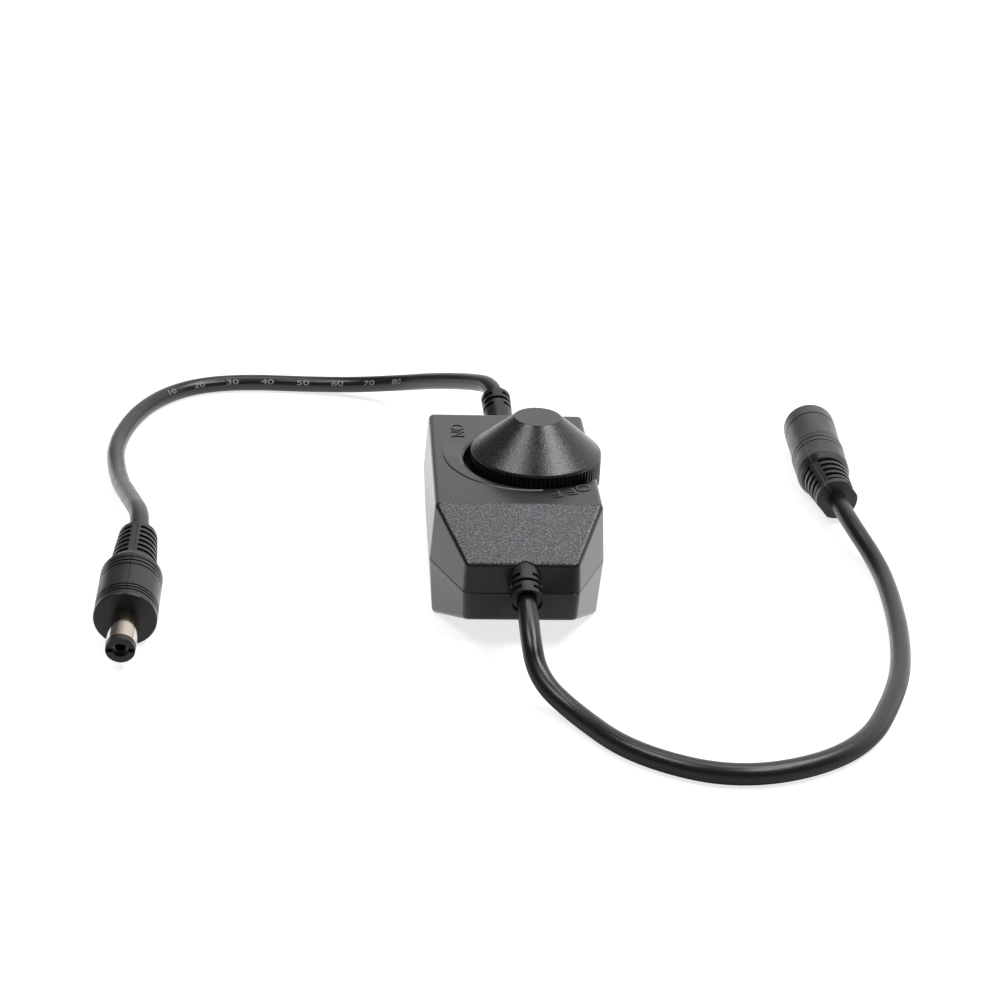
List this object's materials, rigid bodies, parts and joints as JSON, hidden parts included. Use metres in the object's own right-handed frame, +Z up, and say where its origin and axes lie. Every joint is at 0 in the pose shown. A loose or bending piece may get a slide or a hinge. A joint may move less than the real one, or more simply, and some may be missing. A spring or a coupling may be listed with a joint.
{
  "type": "rotary cord dimmer",
  "caption": "In-line rotary dimmer: a faceted two-shell housing with a cone thumb wheel, between a barrel plug lead and a barrel socket lead.",
  "frame": {"origin": "middle of the housing's flat underside, on the surface it rests on", "axes": "+Y along the housing towards the plug's lead, -Y towards the socket's lead, +Z up, the wheel offset towards +X"},
  "size_m": [0.164, 0.1759, 0.0323],
  "materials": {
    "housing_plastic": "fine spark texture on the slopes",
    "wheel_plastic": "satin, knurled rim",
    "moulded_pvc": "soft moulded",
    "lead_jacket": "smooth PVC jacket",
    "nickel": "nickel plate",
    "black_nylon": "plain",
    "screw_steel": "zinc plate",
    "board_laminate": "green solder mask",
    "chip_black": "plain",
    "ceramic": "fired",
    "capacitor_sleeve": "shrink sleeve",
    "phenolic": "pressed laminate",
    "tinned_brass": "tinned",
    "red_pvc": "plain"
  },
  "bodies": {
    "housing": {"upper_shell": "housing_plastic", "lower_shell": "housing_plastic", "housing_screws": "screw_steel", "pot_can": "nickel", "pot_wafer": "phenolic", "pot_terminals": "tinned_brass", "switch_case": "chip_black", "switch_terminals": "tinned_brass", "circuit_board": "board_laminate", "timer_chip": "chip_black", "power_transistor": "chip_black", "bulk_capacitor": "capacitor_sleeve", "flyback_diode": "chip_black", "chip_resistors": "chip_black", "chip_capacitors": "ceramic", "input_relief": "moulded_pvc", "output_relief": "moulded_pvc", "input_black_wire": "lead_jacket", "input_red_wire": "red_pvc", "output_black_wire": "lead_jacket", "output_red_wire": "red_pvc", "input_cord": "lead_jacket", "output_cord": "lead_jacket", "plug_body": "moulded_pvc", "plug_barrel": "nickel", "plug_insulator": "black_nylon", "plug_contact": "tinned_brass", "socket_body": "moulded_pvc", "socket_liner": "black_nylon", "socket_centre_pin": "nickel", "socket_contact": "nickel"},
    "knob": {"knob": "wheel_plastic", "pot_shaft": "nickel", "pot_rotor": "phenolic", "pot_wiper": "tinned_brass"}
  },
  "joints": [
    {"name": "knob_turn", "type": "hinge", "parent": "housing", "child": "knob", "pos_m": [0.0046, 0, 0.0192], "axis": [0, 0, 1], "range_deg": [-280, 0]}
  ]
}
